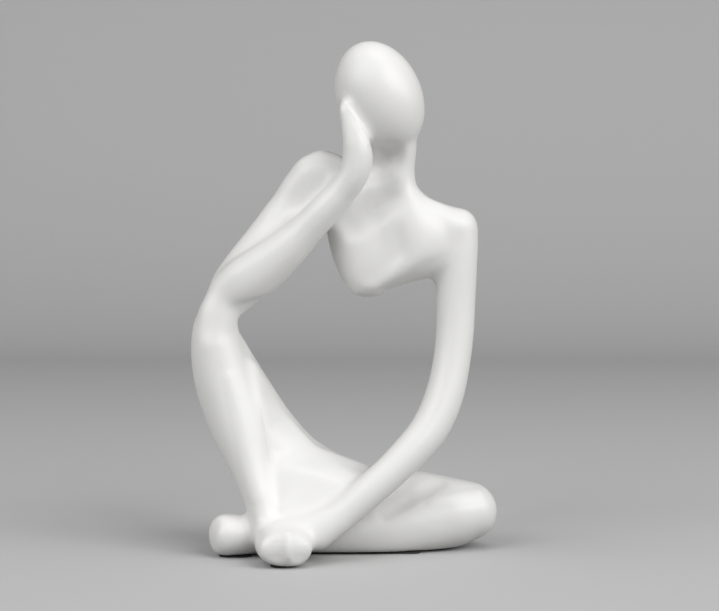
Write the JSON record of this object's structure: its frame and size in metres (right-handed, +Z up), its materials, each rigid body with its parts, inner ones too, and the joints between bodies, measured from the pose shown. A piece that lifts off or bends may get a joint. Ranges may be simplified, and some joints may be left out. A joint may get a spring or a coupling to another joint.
{
  "type": "thinker statue",
  "caption": "Abstract faceless seated figure resting its leaning egg-shaped head on one hand, elbow on a raised knee, with a wide opening between arms, chest and legs.",
  "frame": {"origin": "on the table under the middle of the figure's bounding box", "axes": "+X to the right of a viewer facing the figure, +Y away from that viewer, +Z up"},
  "size_m": [0.1562, 0.0844, 0.2585],
  "materials": {
    "white_paint": "smooth white satin paint on cast polyresin",
    "steel": "bare drawn rod and wire",
    "felt": "black self-adhesive felt"
  },
  "bodies": {
    "root": {"raised_leg": "white_paint", "folded_leg": "white_paint", "torso": "white_paint", "head": "white_paint", "right_arm": "white_paint", "left_arm": "white_paint", "neck_pin": "steel", "hip_pins": "steel", "cheek_pin": "steel", "hand_pin": "steel", "ankle_pin": "steel", "shin_wire": "steel", "forearm_wire": "steel", "upper_arm_wire": "steel", "left_arm_wire": "steel", "front_foot_pad": "felt", "side_foot_pad": "felt", "folded_shin_pad": "felt", "seat_pad": "felt"}
  },
  "joints": []
}
